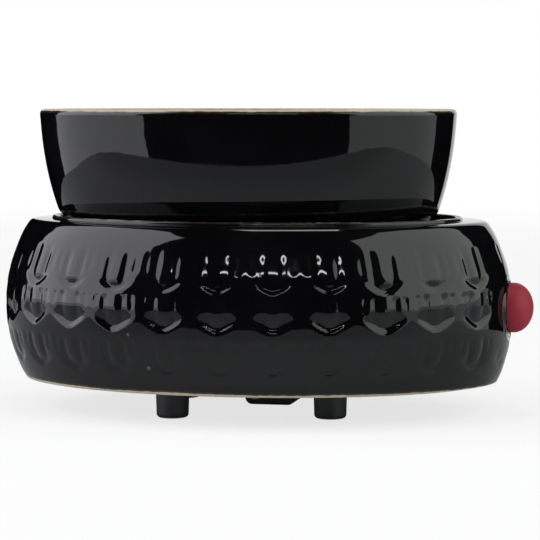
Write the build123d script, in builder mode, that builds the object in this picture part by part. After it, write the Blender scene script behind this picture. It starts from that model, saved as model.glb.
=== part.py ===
from build123d import *
from math import atan2, cos, pi, radians, sin, tan

import os

os.makedirs("parts", exist_ok=True)

# Oval ceramic wax melt warmer: a bulging base on four feet, a lift-off melt dish on its warming
# plate, and a push button at the +X end. Lengths are in millimetres, +Z is up, the table is z = 0.

# Driving dimensions of the ceramic base
half_length = 70.4
half_width = 50.0
base_lift = 8.4
base_height = 44.0
shoulder_draw = 7.2
shell_wall = 4.6
cavity_draw = 5.8
crest_radius = 2.4
overrun = 1.0

# Height up the base, then how much of the shoulder's draw the oval is drawn in there
shell_shares = [
    (0, 0.78),
    (0.06, 0.57),
    (0.14, 0.37),
    (0.25, 0.15),
    (0.38, 0.03),
    (0.49, 0),
    (0.67, 0.13),
    (0.82, 0.42),
    (0.92, 0.69),
    (1, 1),
]
# Height up the base, then how much of the swell the button's end stands further out there
end_swell = 1.9
end_swell_shares = [(0, 1), (0.27, 0.45), (0.49, 0), (0.72, 0.3), (1, 0.3)]
cavity_shares = [(0, 1), (0.12, 0.62), (0.3, 0.2), (0.55, 0), (0.78, 0.18), (1, 0.6)]

# Cast relief: rows of pockets between zigzag ridges, in columns round the base
relief_columns = 26
relief_turn = 0.03
relief_points = 8
relief_rows = 3
relief_low_z = 14.2
relief_step = 11.6
relief_rise = 4.1
relief_depth = 0.7
relief_slant = 1.0
relief_level_gap = 1.45
ridge_width = 1.8
ridge_under = 0.4
ridge_side = 1.8
collar_land = 8.0

# Foot rim and the ledge that the bottom cover bears on
rim_width = 2.4
ledge_depth = 3.5

# Top deck, its raised lip and the round seat of the warming plate
lip_inset = 13.1
lip_width = 1.8
lip_stand = 0.9
lip_radius = 0.6
deck_drop = 2.0
deck_wall = 4.6
seat_radius = 27.6
seat_depth = 2.0
deck_hole_radius = 23.0

# Melt dish
dish_half_length = 58.2
dish_half_width = 42.0
dish_height = 31.2
dish_draw = 6.4
dish_side_draw = 9.0
dish_wall = 4.0
dish_floor = 4.4
dish_corner_radius = 4.0
dish_inner_radius = 6.0
dish_rim_radius = 1.5
dish_set_back = 2.4
dish_clearance = 0.2
dish_shares = [(0, 1), (0.1, 0.8), (0.3, 0.5), (0.5, 0.28), (0.72, 0.12), (1, 0)]

# Heater stack, from the warming plate down
stack_clearance = 0.4
gasket_thickness = 0.8
plate_thickness = 2.0
mica_thickness = 0.4
mica_radius = 22.4
card_thickness = 0.8
ribbon_thickness = 0.2
ribbon_width = 1.4
ribbon_pitch = 3.4
ribbon_passes = 9
ribbon_reach = 13.5
clamp_thickness = 1.2
shield_thickness = 1.0
shield_flange_radius = 28.5
shield_depth = 8.6
shield_corner_radius = 1.6
rod_radius = 2.0
rod_clearance = 0.2
rod_head_radius = 3.8
rod_head_height = 1.6
rod_slot_width = 1.0
rod_slot_depth = 0.7
rod_tail = 1.5
nut_flats_radius = 3.5
nut_height = 3.2
nut_clearance = 1.0

# Thermal cutoff under the clamp plate, and the strap that holds it
cutoff_radius = 2.0
cutoff_length = 10.0
cutoff_x = 12.0
lead_radius = 0.5
lead_length = 3.0
strap_thickness = 0.5
strap_width = 4.0
strap_ear = 3.0
pocket_clearance = 0.6
tail_clearance = 0.3

# Lead bushings in the heat shield
bushing_radius = 2.6
bushing_flange_radius = 3.8
bushing_flange = 1.0
bushing_stand = 2.0
bushing_x = 11.0
bushing_y = -14.0

# Posts that hold the bottom cover
post_radius = 3.0
post_spread = 16.0
post_spigot_radius = 1.4
cover_screw_radius = 1.5
cover_screw_head_radius = 2.9
cover_screw_head = 1.8
cover_screw_reach = 9.0
screw_slot_width = 0.7
screw_slot_depth = 0.6
thread_clearance = 0.1

# Bottom cover and feet
cover_thickness = 2.0
cover_clearance = 0.4
foot_radius = 4.6
foot_tip_radius = 4.3
foot_round = 1.1
foot_ring_radius = 30.0
foot_turn = 9.0
foot_bore_radius = 2.5
foot_bore_depth = 4.6
foot_screw_radius = 1.25
foot_screw_head_radius = 2.2
foot_screw_head = 1.5
foot_screw_reach = 10.0
boss_radius = 3.6
boss_height = 6.0

# Cord gland under the cover
gland_x = 5.6
gland_y = 0.0
gland_width = 13.9
gland_length = 16.0
gland_height = 8.1
gland_round = 2.0
gland_edge_round = 0.7
inlet_radius = 2.7
inlet_length = 11.0
inlet_drop = 4.2
gland_screw_x = -3.9
gland_screw_drop = 4.6
gland_screw_radius = 1.1
gland_screw_head_radius = 1.9
gland_screw_head = 1.1
gland_screw_length = 6.0
fixing_spread = 4.9
fixing_y = 4.0
fixing_radius = 1.0
fixing_head_radius = 1.9
fixing_head = 1.2
fixing_reach = 3.0

# Terminal block on the cover
block_x = -34.0
block_length = 18.0
block_width = 22.0
block_height = 12.0
block_pole_y = 5.5
block_port_radius = 1.8
block_port_depth = 6.0
block_port_height = 5.5
block_screw_radius = 1.7
block_screw_inset = 4.5
block_screw_height = 3.0
block_screw_sink = 0.6
block_edge_round = 0.6
block_fixing_radius = 1.3
block_fixing_head_radius = 2.4
block_fixing_head = 1.6

# Push button and its switch, on the long axis at the +X end
button_z = 29.1
collar_radius = 8.1
collar_stand = 1.1
collar_round = 0.8
collar_root = 4.5
recess_radius = 7.15
boss_pad_radius = 9.5
boss_pad_depth = 8.9
boss_pad_root = 3.0
cap_radius = 6.75
cap_stand = 5.3
cap_skirt = 1.2
cap_wall = 0.9
cap_hollow = 3.0
cap_socket_depth = 1.5
cap_socket_clearance = 0.05
button_travel = 1.6
skirt_clearance = 0.2
bushing_bore_clearance = 0.1
switch_thread_radius = 4.4
switch_hole_clearance = 0.2
switch_proud = 0.9
switch_width = 16.0
switch_case_length = 13.0
switch_front_wall = 1.2
switch_case_wall = 2.0
switch_back_thickness = 2.0
switch_nut_flats_radius = 6.5
switch_nut_height = 2.4
switch_ring_radius = 5.5
switch_ring_height = 1.1
stem_radius = 2.0
stem_flange_radius = 4.6
stem_flange = 1.5
stem_tail = 3.0
stem_gap = 0.3
spring_radius = 3.3
spring_wire_radius = 0.4
spring_turns = 5
spring_end_gap = 0.05
tab_width = 4.8
tab_thickness = 0.8
tab_length = 6.0
tab_root = 1.0
tab_spread = 4.8

# Sleeved leads inside the base
sleeve_radius = 1.1
sleeve_round_share = 0.45
port_entry = 2.0
port_run = 9.0
return_run = 7.2
bushing_entry = 1.0
tab_run = 8.6
switch_run = 6.9
tail_run = 6.4
return_tail_run = 5.2
live_bow = 6.2
switch_bow = 8.7
return_bow = 2.1

# Between a lead's two turns: how far along, how far up, and how far out of line each point is
live_shares = [(0.2, 0.08, 0.59), (0.42, 0.3, 1), (0.63, 0.57, 0.89), (0.82, 0.84, 0.33)]
switch_shares = [(0.29, 0.29, 0.57), (0.58, 0.58, 1), (0.89, 0.89, 0.74)]
return_shares = [(0.68, 0.16, 1), (0.97, 0.59, 0.38)]

# Heights and places worked out from the sizes above
crest_z = base_lift + base_height
deck_top_z = crest_z - deck_drop
deck_under_z = deck_top_z - deck_wall
seat_z = deck_top_z - seat_depth
plate_under_z = seat_z + gasket_thickness
plate_top_z = plate_under_z + plate_thickness
upper_mica_z = plate_under_z - mica_thickness
ribbon_z = upper_mica_z - ribbon_thickness
card_z = ribbon_z - card_thickness
lower_mica_z = card_z - mica_thickness
clamp_z = lower_mica_z - clamp_thickness
shield_floor_z = deck_under_z - shield_depth
pad_z = shield_floor_z + shield_thickness
cover_top_z = base_lift + ledge_depth
cover_under_z = cover_top_z - cover_thickness
dish_z = plate_top_z + dish_clearance
collar_face = half_length + collar_stand
cap_tip = collar_face + cap_stand
oval_x = -(cap_tip - half_length) / 2
recess_depth = cap_skirt + button_travel + skirt_clearance
recess_floor = collar_face - recess_depth
pad_face = half_length - boss_pad_depth
switch_front = pad_face - switch_nut_height
switch_rear = switch_front - switch_case_length
bore_radius = stem_radius + bushing_bore_clearance


def level(z, x=0, y=0):
    """The horizontal plane at height z, centred on the oval."""
    return Plane(origin=(oval_x + x, y, z))


def end_face(x, y=0, z=button_z):
    """The upright plane at x on the button's axis, looking outward along +X."""
    return Plane(origin=(oval_x + x, y, z), x_dir=(0, 1, 0), z_dir=(1, 0, 0))


def oval_body(shares, bottom_z, height, reach, draws, x=0, mode=Mode.ADD):
    """Lofts ovals whose half length and half width are drawn in by shares of the two draws."""
    ovals = []
    for height_share, draw_share in shares:
        with BuildSketch(level(bottom_z + height_share * height, x)) as oval:
            Ellipse(reach[0] - draw_share * draws[0], reach[1] - draw_share * draws[1])
        ovals.append(oval.sketch.face())
    loft(ovals, mode=mode)


def oval_plate(z, inset, amount, mode=Mode.ADD):
    """A flat oval, drawn in evenly from the base's widest outline."""
    with BuildSketch(level(z)) as oval:
        Ellipse(half_length - inset, half_width - inset)
    extrude(oval.sketch, amount=amount, mode=mode)


def share_at(shares, place):
    """Smooth value between the shares: cubic pieces that turn only where the shares do."""
    gaps = [b[0] - a[0] for a, b in zip(shares, shares[1:])]
    rises = [(b[1] - a[1]) / gap for a, b, gap in zip(shares, shares[1:], gaps)]
    slopes = [rises[0]]
    for before, after in zip(rises, rises[1:]):
        slopes.append(2 * before * after / (before + after) if before * after > 0 else 0)
    slopes.append(rises[-1])
    piece = max(k for k in range(len(gaps)) if k == 0 or place >= shares[k][0])
    t = (place - shares[piece][0]) / gaps[piece]
    start, end = shares[piece][1], shares[piece + 1][1]
    lean = t * (1 - t) * gaps[piece] * ((1 - t) * slopes[piece] - t * slopes[piece + 1])
    return start + (end - start) * t * t * (3 - 2 * t) + lean


def ramp(distance, width):
    """0 up to 1 over a width."""
    return max(0, min(1, distance / width))


def pocket_depth(column_place, column_width, z, y, end_side):
    """How deep the relief lies at a place across a column and a height."""
    across = min(column_place % 1, 1 - column_place % 1) * column_width
    over = z - relief_low_z - relief_rise * across / (column_width / 2)
    if over < 0 or over > relief_rows * relief_step:
        return 0
    over = over % relief_step
    depth = ramp(over - ridge_width, relief_slant)
    depth *= ramp(relief_step - ridge_under - over, relief_slant)
    depth *= ramp(column_width / 2 - across, ridge_side)
    if end_side:
        from_button = ((z - button_z) ** 2 + y**2) ** 0.5
        depth *= ramp(from_button - collar_radius - collar_land / 2, collar_land)
    return relief_depth * depth


def disc(plane, radius, amount, mode=Mode.ADD):
    """A round disc, pin or hole on a plane."""
    with BuildSketch(plane) as round_face:
        Circle(radius)
    extrude(round_face.sketch, amount=amount, mode=mode)


def keep(piece, name):
    """Labels a finished piece and writes it."""
    piece.part.label = name
    export_step(piece.part, f"parts/{name}.step")


# Ceramic base
rim_inset = shell_shares[0][1] * shoulder_draw
ledge_inset = rim_inset + rim_width

# The relief's levels: a smooth outline at the foot, the crest and above the top row
outline = Ellipse(half_length, half_width).edge()
column_width = outline.length / relief_columns
point_count = relief_columns * relief_points
relief_top_z = crest_z - crest_radius
level_count = round((relief_top_z - relief_low_z) / relief_level_gap)
levels = [base_lift, (base_lift * 2 + relief_low_z) / 3, (base_lift + relief_low_z * 2) / 3]
levels += [
    relief_low_z + (relief_top_z - relief_low_z) * k / level_count for k in range(level_count + 1)
]
levels += [(relief_top_z + crest_z) / 2, crest_z]
angles = []
for number in range(point_count):
    run = (number / relief_points + 0.5 + relief_turn) * column_width % outline.length
    spot = outline.position_at(run, position_mode=PositionMode.LENGTH)
    angles.append(atan2(spot.Y / half_width, spot.X / half_length))
outlines = []
for z in levels:
    height_share = (z - base_lift) / base_height
    drawn = shoulder_draw * share_at(shell_shares, height_share)
    swell = end_swell * share_at(end_swell_shares, height_share)
    points = []
    for number, angle in enumerate(angles):
        y = half_width * sin(angle)
        end_side = cos(angle) > 0
        depth = 0
        if z < relief_top_z:
            depth = pocket_depth(number / relief_points, column_width, z, y, end_side)
        inset = drawn + depth - swell * max(0, cos(angle)) ** 4
        reach = (half_length - inset, half_width - inset)
        points.append((oval_x + reach[0] * cos(angle), reach[1] * sin(angle), z))
    outlines.append(Wire([Spline(*points, periodic=True)]))

with BuildPart() as base_shell:
    inner = (half_length - shell_wall, half_width - shell_wall)
    add(Solid.make_loft(outlines, ruled=True))
    fillet(base_shell.edges().group_by(Axis.Z)[-1], crest_radius)
    oval_plate(crest_z - overrun, lip_inset, overrun + lip_stand)
    fillet(base_shell.edges().group_by(Axis.Z)[-1], lip_radius)
    oval_plate(deck_top_z, lip_inset + lip_width, deck_drop + lip_stand + overrun, Mode.SUBTRACT)
    cavity_height = deck_under_z - cover_top_z
    oval_body(
        cavity_shares,
        cover_top_z,
        cavity_height,
        inner,
        (cavity_draw, cavity_draw),
        mode=Mode.SUBTRACT,
    )
    oval_plate(base_lift - overrun, ledge_inset, ledge_depth + overrun, Mode.SUBTRACT)
    disc(level(seat_z), seat_radius, seat_depth + overrun, Mode.SUBTRACT)
    disc(level(deck_under_z - overrun), deck_hole_radius, deck_wall + overrun, Mode.SUBTRACT)
    disc(end_face(pad_face), boss_pad_radius, boss_pad_depth - boss_pad_root)
    disc(end_face(half_length - collar_root), collar_radius, collar_root + collar_stand)
    fillet(base_shell.edges().group_by(Axis.X)[-1], collar_round)
    disc(end_face(recess_floor), recess_radius, recess_depth + overrun, Mode.SUBTRACT)
    disc(
        end_face(pad_face - overrun),
        switch_thread_radius + switch_hole_clearance,
        recess_floor - pad_face + overrun * 2,
        Mode.SUBTRACT,
    )
keep(base_shell, "base_shell")

# Melt dish, hollowed by the form of its bowl
dish_draws = (dish_draw, dish_side_draw)
bowl_z = dish_z + dish_floor
bowl_depth = dish_height - dish_floor

with BuildPart() as bowl:
    inner = (dish_half_length - dish_wall, dish_half_width - dish_wall)
    oval_body(dish_shares, bowl_z, bowl_depth, inner, dish_draws, -dish_set_back)
    fillet(bowl.edges().group_by(Axis.Z)[0], dish_inner_radius)

with BuildPart() as melt_dish:
    outer = (dish_half_length, dish_half_width)
    oval_body(dish_shares, dish_z, dish_height, outer, dish_draws, -dish_set_back)
    fillet(melt_dish.edges().group_by(Axis.Z)[0], dish_corner_radius)
    add(bowl.part, mode=Mode.SUBTRACT)
    fillet(melt_dish.edges().group_by(Axis.Z)[-1], dish_rim_radius)
keep(melt_dish, "melt_dish")

# Heater stack between the warming plate and the clamp plate, with a hole for the rod in each layer
flange_radius = seat_radius - stack_clearance
rod_hole_radius = rod_radius + rod_clearance
rod_end_z = shield_floor_z - nut_height - rod_tail


def layer(z, radius, thickness):
    """A round sheet with the rod's hole in the middle."""
    disc(level(z), radius, thickness)
    disc(level(z), rod_hole_radius, thickness, Mode.SUBTRACT)


def hex_nut(plane, flats_radius, hole_radius, height):
    """A hexagon nut on a plane."""
    with BuildSketch(plane) as outline:
        RegularPolygon(flats_radius, 6, major_radius=False)
        Circle(hole_radius, mode=Mode.SUBTRACT)
    extrude(outline.sketch, amount=height)


def tail_places():
    """Where the heater's two tails pass down through the clamp plate, the pad and the shield."""
    return ((-bushing_x, bushing_y), (bushing_x, bushing_y))


with BuildPart() as warming_plate:
    layer(plate_under_z, flange_radius, plate_thickness)
    fillet(warming_plate.edges().group_by(Axis.Z)[-1].sort_by(SortBy.LENGTH)[-1], stack_clearance)
    with Locations(level(plate_top_z - rod_head_height)):
        Cone(
            rod_radius + thread_clearance,
            rod_head_radius + thread_clearance,
            rod_head_height,
            align=(Align.CENTER, Align.CENTER, Align.MIN),
            mode=Mode.SUBTRACT,
        )
keep(warming_plate, "warming_plate")

with BuildPart() as plate_gasket:
    disc(level(seat_z), flange_radius, gasket_thickness)
    disc(level(seat_z), deck_hole_radius + stack_clearance, gasket_thickness, Mode.SUBTRACT)
keep(plate_gasket, "plate_gasket")

with BuildPart() as upper_mica:
    layer(upper_mica_z, mica_radius, mica_thickness)
keep(upper_mica, "upper_mica")

# The ribbon runs to and fro across the card and passes the rod on both sides
ribbon_lanes = [lane for lane in range(-(ribbon_passes // 2), ribbon_passes // 2 + 1) if lane]
ribbon_points = []
for count, lane in enumerate(ribbon_lanes):
    ends = (-ribbon_reach, ribbon_reach) if count % 2 else (ribbon_reach, -ribbon_reach)
    ribbon_points += [(lane * ribbon_pitch, end) for end in ends]

with BuildPart() as heater_ribbon:
    with BuildSketch(level(ribbon_z)):
        with BuildLine():
            Polyline(*ribbon_points)
        trace(line_width=ribbon_width)
    extrude(amount=ribbon_thickness)
keep(heater_ribbon, "heater_ribbon")

with BuildPart() as heater_card:
    layer(card_z, mica_radius, card_thickness)
keep(heater_card, "heater_card")

with BuildPart() as lower_mica:
    layer(lower_mica_z, mica_radius, mica_thickness)
    for x, y in tail_places():
        disc(level(lower_mica_z, x, y), lead_radius + tail_clearance, mica_thickness, Mode.SUBTRACT)
keep(lower_mica, "lower_mica")

with BuildPart() as clamp_plate:
    layer(clamp_z, mica_radius, clamp_thickness)
    for x, y in tail_places():
        disc(level(clamp_z, x, y), lead_radius + tail_clearance, clamp_thickness, Mode.SUBTRACT)
keep(clamp_plate, "clamp_plate")

with BuildPart() as clamp_nut:
    hex_nut(level(clamp_z - nut_height), nut_flats_radius, rod_radius + thread_clearance, nut_height)
keep(clamp_nut, "clamp_nut")

with BuildPart() as tie_rod:
    disc(level(rod_end_z), rod_radius, plate_top_z - rod_head_height - rod_end_z)
    with Locations(level(plate_top_z - rod_head_height)):
        Cone(
            rod_radius,
            rod_head_radius,
            rod_head_height,
            align=(Align.CENTER, Align.CENTER, Align.MIN),
        )
    with Locations(level(plate_top_z)):
        Box(
            rod_head_radius * 2,
            rod_slot_width,
            rod_slot_depth * 2,
            mode=Mode.SUBTRACT,
        )
keep(tie_rod, "tie_rod")

with BuildPart() as shield_nut:
    hex_nut(
        level(shield_floor_z - nut_height), nut_flats_radius, rod_radius + thread_clearance, nut_height
    )
keep(shield_nut, "shield_nut")

# Thermal cutoff, lying along Y against the clamp plate
cutoff_z = clamp_z - cutoff_radius
pocket_width = (cutoff_radius + strap_thickness + strap_ear + pocket_clearance) * 2
pocket_length = cutoff_length + (lead_length + pocket_clearance) * 2
pocket_depth = cutoff_radius * 2 + strap_thickness + pocket_clearance


def cross_plane(x, y, z):
    """The upright plane at x, y, z that looks toward the back, with its own Y pointing down."""
    return Plane(origin=(oval_x + x, y, z), x_dir=(1, 0, 0), z_dir=(0, 1, 0))


with BuildPart() as thermal_cutoff:
    disc(cross_plane(cutoff_x, -cutoff_length / 2, cutoff_z), cutoff_radius, cutoff_length)
    lead_span = cutoff_length + lead_length * 2
    disc(cross_plane(cutoff_x, -lead_span / 2, cutoff_z), lead_radius, lead_span)
keep(thermal_cutoff, "thermal_cutoff")

with BuildPart() as cutoff_strap:
    strap_inner = cutoff_radius + thread_clearance
    strap_outer = strap_inner + strap_thickness
    with BuildSketch(cross_plane(cutoff_x, -strap_width / 2, cutoff_z)):
        Circle(strap_outer)
        with Locations((0, -cutoff_radius / 2)):
            Rectangle(strap_outer * 2, cutoff_radius)
        with Locations((0, -cutoff_radius * 2)):
            Rectangle(strap_outer * 2, cutoff_radius * 2, mode=Mode.SUBTRACT)
        with Locations((0, strap_thickness / 2 - cutoff_radius)):
            Rectangle((strap_outer + strap_ear) * 2, strap_thickness)
        Circle(strap_inner, mode=Mode.SUBTRACT)
        with Locations((0, -cutoff_radius / 2)):
            Rectangle(strap_inner * 2, cutoff_radius, mode=Mode.SUBTRACT)
    extrude(amount=strap_width)
keep(cutoff_strap, "cutoff_strap")

# Insulation pad between the clamp plate and the shield's floor
nut_room_radius = nut_flats_radius / 3**0.5 * 2 + nut_clearance
pad_height = clamp_z - pad_z

with BuildPart() as insulation_pad:
    disc(level(pad_z), mica_radius - stack_clearance, pad_height)
    disc(level(pad_z), nut_room_radius, pad_height, Mode.SUBTRACT)
    with Locations(level(clamp_z, cutoff_x)):
        Box(pocket_width, pocket_length, pocket_depth * 2, mode=Mode.SUBTRACT)
    for x, y in tail_places():
        disc(level(pad_z, x, y), lead_radius + tail_clearance, pad_height, Mode.SUBTRACT)
        flange_room = bushing_flange_radius + tail_clearance
        disc(level(pad_z, x, y), flange_room, bushing_flange + tail_clearance, Mode.SUBTRACT)
keep(insulation_pad, "insulation_pad")

# Heat shield: a steel pan whose flange bears on the deck's underside
with BuildPart() as heat_shield:
    disc(level(shield_floor_z), mica_radius + shield_thickness, shield_depth)
    fillet(heat_shield.edges().group_by(Axis.Z)[0], shield_corner_radius)
    disc(level(deck_under_z - shield_thickness), shield_flange_radius, shield_thickness)
    disc(level(pad_z), mica_radius, shield_depth, Mode.SUBTRACT)
    disc(level(shield_floor_z), rod_hole_radius, shield_thickness, Mode.SUBTRACT)
    for x, y in tail_places():
        hole_radius = bushing_radius + thread_clearance
        disc(level(shield_floor_z, x, y), hole_radius, shield_thickness, Mode.SUBTRACT)
    for side in (-1, 1):
        disc(
            level(shield_floor_z, side * post_spread),
            post_spigot_radius + thread_clearance,
            shield_thickness,
            Mode.SUBTRACT,
        )
keep(heat_shield, "heat_shield")

with BuildPart() as lead_bushings:
    tube_length = shield_thickness + bushing_stand
    for x, y in tail_places():
        disc(level(pad_z, x, y), bushing_flange_radius, bushing_flange)
        disc(level(pad_z - tube_length, x, y), bushing_radius, tube_length)
        bore = sleeve_radius + tail_clearance
        disc(level(pad_z - tube_length, x, y), bore, tube_length, Mode.SUBTRACT)
        disc(level(pad_z, x, y), lead_radius + tail_clearance, bushing_flange, Mode.SUBTRACT)
keep(lead_bushings, "lead_bushings")

tail_end_z = shield_floor_z - bushing_stand + bushing_entry

with BuildPart() as heater_tails:
    for x, y in tail_places():
        disc(level(tail_end_z, x, y), lead_radius, card_z - tail_end_z)
keep(heater_tails, "heater_tails")

# Posts that the bottom cover's screws pull on
for name, side in (("left_post", -1), ("right_post", 1)):
    with BuildPart() as post:
        post_length = shield_floor_z - cover_top_z
        disc(level(cover_top_z, side * post_spread), post_radius, post_length)
        disc(level(shield_floor_z, side * post_spread), post_spigot_radius, shield_thickness)
        disc(
            level(cover_top_z, side * post_spread),
            cover_screw_radius + thread_clearance,
            cover_screw_reach,
            Mode.SUBTRACT,
        )
    keep(post, name)

# Bottom cover, with a boss for each foot's screw
inlet_y = gland_y + gland_length / 2 - inlet_length + inlet_radius
foot_angles = {
    "front_left_foot": 225,
    "front_right_foot": 315,
    "back_left_foot": 135,
    "back_right_foot": 45,
}
foot_places = {
    name: (
        foot_ring_radius * cos(radians(angle + foot_turn)),
        foot_ring_radius * sin(radians(angle + foot_turn)),
    )
    for name, angle in foot_angles.items()
}
fixing_places = ((gland_x - fixing_spread, fixing_y), (gland_x + fixing_spread, fixing_y))

with BuildPart() as bottom_cover:
    oval_plate(cover_under_z, ledge_inset + cover_clearance, cover_thickness)
    for x, y in foot_places.values():
        disc(level(cover_top_z, x, y), boss_radius, boss_height)
        disc(
            level(cover_under_z, x, y),
            foot_screw_radius + thread_clearance,
            cover_thickness + boss_height - overrun,
            Mode.SUBTRACT,
        )
    for side in (-1, 1):
        disc(
            level(cover_under_z, side * post_spread),
            cover_screw_radius + rod_clearance,
            cover_thickness,
            Mode.SUBTRACT,
        )
    disc(level(cover_under_z, gland_x, inlet_y), inlet_radius, cover_thickness, Mode.SUBTRACT)
    for x, y in fixing_places:
        disc(level(cover_under_z, x, y), fixing_radius + rod_clearance, cover_thickness, Mode.SUBTRACT)
    disc(
        level(cover_under_z, block_x),
        block_fixing_radius + thread_clearance,
        cover_thickness,
        Mode.SUBTRACT,
    )
keep(bottom_cover, "bottom_cover")


def screw(plane, head_radius, head, radius, reach):
    """A slotted cheese-head screw: the head's far face lies on the plane, the shank runs on past it."""
    disc(plane.offset(-head), head_radius, head)
    disc(plane, radius, reach)
    with Locations(plane.offset(-head)):
        Box(head_radius * 2, screw_slot_width, screw_slot_depth * 2, mode=Mode.SUBTRACT)


def pointing_down(x, y, z):
    """The horizontal plane at x, y, z that looks down."""
    return Plane(origin=(oval_x + x, y, z), x_dir=(1, 0, 0), z_dir=(0, 0, -1))


with BuildPart() as cover_screws:
    for side in (-1, 1):
        screw(
            level(cover_under_z, side * post_spread),
            cover_screw_head_radius,
            cover_screw_head,
            cover_screw_radius,
            cover_screw_reach,
        )
keep(cover_screws, "cover_screws")

# Rubber feet, each held by a screw in its recess
for name, (x, y) in foot_places.items():
    with BuildPart() as foot:
        with Locations(level(0, x, y)):
            Cone(
                foot_tip_radius,
                foot_radius,
                cover_under_z,
                align=(Align.CENTER, Align.CENTER, Align.MIN),
            )
        fillet(foot.edges().group_by(Axis.Z)[0], foot_round)
        disc(level(0, x, y), foot_bore_radius, foot_bore_depth, Mode.SUBTRACT)
        screw_hole = foot_screw_radius + thread_clearance
        disc(level(0, x, y), screw_hole, cover_under_z, Mode.SUBTRACT)
    keep(foot, name)

with BuildPart() as foot_screws:
    for x, y in foot_places.values():
        screw(
            level(foot_bore_depth, x, y),
            foot_screw_head_radius,
            foot_screw_head,
            foot_screw_radius,
            foot_screw_reach,
        )
keep(foot_screws, "foot_screws")

# Cord gland: the cord's way in is from the back, then up through the cover
with BuildPart() as cord_gland:
    gland_front_y = gland_y - gland_length / 2
    gland_back_y = gland_y + gland_length / 2
    inlet_z = cover_under_z - inlet_drop
    with Locations(level(cover_under_z, gland_x, gland_y)):
        Box(
            gland_width,
            gland_length,
            gland_height,
            align=(Align.CENTER, Align.CENTER, Align.MAX),
        )
    fillet(cord_gland.edges().filter_by(Axis.Y).group_by(Axis.Z)[0], gland_round)
    fillet(cord_gland.edges().group_by(Axis.Y)[0].group_by(Axis.Z)[0], gland_edge_round)
    disc(
        cross_plane(gland_x, gland_back_y - inlet_length, inlet_z),
        inlet_radius,
        inlet_length,
        Mode.SUBTRACT,
    )
    disc(level(inlet_z, gland_x, inlet_y), inlet_radius, inlet_drop, Mode.SUBTRACT)
    disc(
        cross_plane(gland_x + gland_screw_x, gland_front_y, cover_under_z - gland_screw_drop),
        gland_screw_radius + thread_clearance,
        gland_screw_length,
        Mode.SUBTRACT,
    )
    for x, y in fixing_places:
        disc(
            level(cover_under_z - fixing_reach, x, y),
            fixing_radius + thread_clearance,
            fixing_reach,
            Mode.SUBTRACT,
        )
keep(cord_gland, "cord_gland")

with BuildPart() as gland_screw:
    screw(
        cross_plane(gland_x + gland_screw_x, gland_front_y, cover_under_z - gland_screw_drop),
        gland_screw_head_radius,
        gland_screw_head,
        gland_screw_radius,
        gland_screw_length,
    )
keep(gland_screw, "gland_screw")

with BuildPart() as gland_fixings:
    for x, y in fixing_places:
        screw(
            pointing_down(x, y, cover_top_z),
            fixing_head_radius,
            fixing_head,
            fixing_radius,
            cover_thickness + fixing_reach,
        )
keep(gland_fixings, "gland_fixings")

# Terminal block: two poles, each with a port and a screw at both ends
block_top_z = cover_top_z + block_height
port_z = cover_top_z + block_port_height
pole_screws = [
    (block_x + end * (block_length / 2 - block_screw_inset), pole * block_pole_y)
    for end in (-1, 1)
    for pole in (-1, 1)
]

with BuildPart() as terminal_block:
    with Locations(level(cover_top_z, block_x)):
        Box(
            block_length,
            block_width,
            block_height,
            align=(Align.CENTER, Align.CENTER, Align.MIN),
        )
    fillet(terminal_block.edges().group_by(Axis.Z)[-1], block_edge_round)
    for pole in (-1, 1):
        y = pole * block_pole_y
        left_x = block_x - block_length / 2
        right_x = block_x + block_length / 2 - block_port_depth
        disc(end_face(left_x, y, port_z), block_port_radius, block_port_depth, Mode.SUBTRACT)
        disc(end_face(right_x, y, port_z), block_port_radius, block_port_depth, Mode.SUBTRACT)
    for x, y in pole_screws:
        disc(
            level(port_z, x, y),
            block_screw_radius + thread_clearance,
            block_top_z - port_z,
            Mode.SUBTRACT,
        )
    disc(
        level(cover_top_z, block_x),
        block_fixing_radius + thread_clearance,
        block_height,
        Mode.SUBTRACT,
    )
    disc(
        level(cover_top_z + block_port_height, block_x),
        block_fixing_head_radius + rod_clearance,
        block_height,
        Mode.SUBTRACT,
    )
keep(terminal_block, "terminal_block")

with BuildPart() as terminal_screws:
    for x, y in pole_screws:
        screw(
            pointing_down(x, y, block_top_z - block_screw_sink - block_screw_height / 2),
            block_screw_radius,
            block_screw_height / 2,
            block_screw_radius,
            block_screw_height / 2,
        )
keep(terminal_screws, "terminal_screws")

with BuildPart() as block_fixing:
    screw(
        pointing_down(block_x, 0, cover_top_z + block_port_height),
        block_fixing_head_radius,
        block_fixing_head,
        block_fixing_radius,
        block_port_height + cover_thickness,
    )
keep(block_fixing, "block_fixing")

# Push-button switch: the case inside, its threaded neck through the wall
neck_end = recess_floor + switch_proud
cavity_front = switch_front - switch_front_wall
switch_back_x = switch_rear - switch_back_thickness

with BuildPart() as switch_case:
    with BuildSketch(end_face(switch_rear)):
        Rectangle(switch_width, switch_width)
    extrude(amount=switch_case_length)
    fillet(switch_case.edges().filter_by(Axis.X), switch_front_wall)
    disc(end_face(switch_front), switch_thread_radius, neck_end - switch_front)
    cavity_radius = switch_width / 2 - switch_case_wall
    disc(end_face(switch_rear), cavity_radius, cavity_front - switch_rear, Mode.SUBTRACT)
    disc(end_face(cavity_front), bore_radius, neck_end - cavity_front, Mode.SUBTRACT)
keep(switch_case, "switch_case")

tab_base_x = switch_back_x - tab_length

with BuildPart() as switch_back:
    with BuildSketch(end_face(switch_back_x)):
        Rectangle(switch_width, switch_width)
        with Locations((-tab_spread, 0), (tab_spread, 0)):
            slot = thread_clearance * 2
            Rectangle(tab_thickness + slot, tab_width + slot, mode=Mode.SUBTRACT)
    extrude(amount=switch_back_thickness)
keep(switch_back, "switch_back")

with BuildPart() as switch_tabs:
    with BuildSketch(end_face(tab_base_x)):
        with Locations((-tab_spread, 0), (tab_spread, 0)):
            Rectangle(tab_thickness, tab_width)
    extrude(amount=tab_length + switch_back_thickness + tab_root)
keep(switch_tabs, "switch_tabs")

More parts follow.
